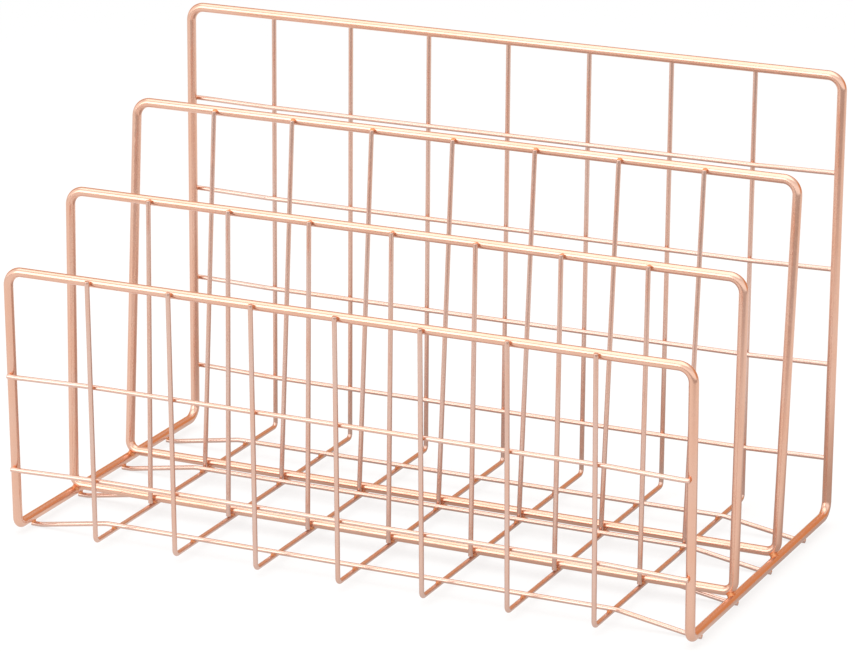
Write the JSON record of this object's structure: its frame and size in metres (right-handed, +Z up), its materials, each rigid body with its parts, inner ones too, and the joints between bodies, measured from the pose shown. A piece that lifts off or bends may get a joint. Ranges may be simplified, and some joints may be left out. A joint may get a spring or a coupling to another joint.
{
  "type": "desk file organizer",
  "caption": "Free-standing welded wire file rack with slots between panels that rise to the rear; holds papers, envelopes and folders upright on a desk",
  "frame": {"origin": "on the desk, midway across the width and the depth of the rack", "axes": "X along the width to the viewer's right, Y from the low front panel to the tall back panel, Z up"},
  "size_m": [0.3446, 0.192, 0.2202],
  "materials": {
    "frame_plating": "smooth rose-gold copper plating on heavy steel wire",
    "mesh_plating": "smooth rose-gold copper plating on thin steel wire"
  },
  "bodies": {
    "root": {"outer_frame": "frame_plating", "second_divider_frame": "frame_plating", "third_divider_frame": "frame_plating", "u_wire_1": "mesh_plating", "u_wire_2": "mesh_plating", "u_wire_3": "mesh_plating", "u_wire_4": "mesh_plating", "u_wire_5": "mesh_plating", "u_wire_6": "mesh_plating", "u_wire_7": "mesh_plating", "second_divider_wire_1": "mesh_plating", "second_divider_wire_2": "mesh_plating", "second_divider_wire_3": "mesh_plating", "second_divider_wire_4": "mesh_plating", "second_divider_wire_5": "mesh_plating", "second_divider_wire_6": "mesh_plating", "second_divider_wire_7": "mesh_plating", "third_divider_wire_1": "mesh_plating", "third_divider_wire_2": "mesh_plating", "third_divider_wire_3": "mesh_plating", "third_divider_wire_4": "mesh_plating", "third_divider_wire_5": "mesh_plating", "third_divider_wire_6": "mesh_plating", "third_divider_wire_7": "mesh_plating", "front_cross_wire_1": "mesh_plating", "front_cross_wire_2": "mesh_plating", "back_cross_wire_1": "mesh_plating", "back_cross_wire_2": "mesh_plating", "back_cross_wire_3": "mesh_plating", "back_cross_wire_4": "mesh_plating", "base_cross_wire_1": "mesh_plating", "base_cross_wire_2": "mesh_plating", "base_cross_wire_3": "mesh_plating", "base_cross_wire_4": "mesh_plating"}
  },
  "joints": []
}
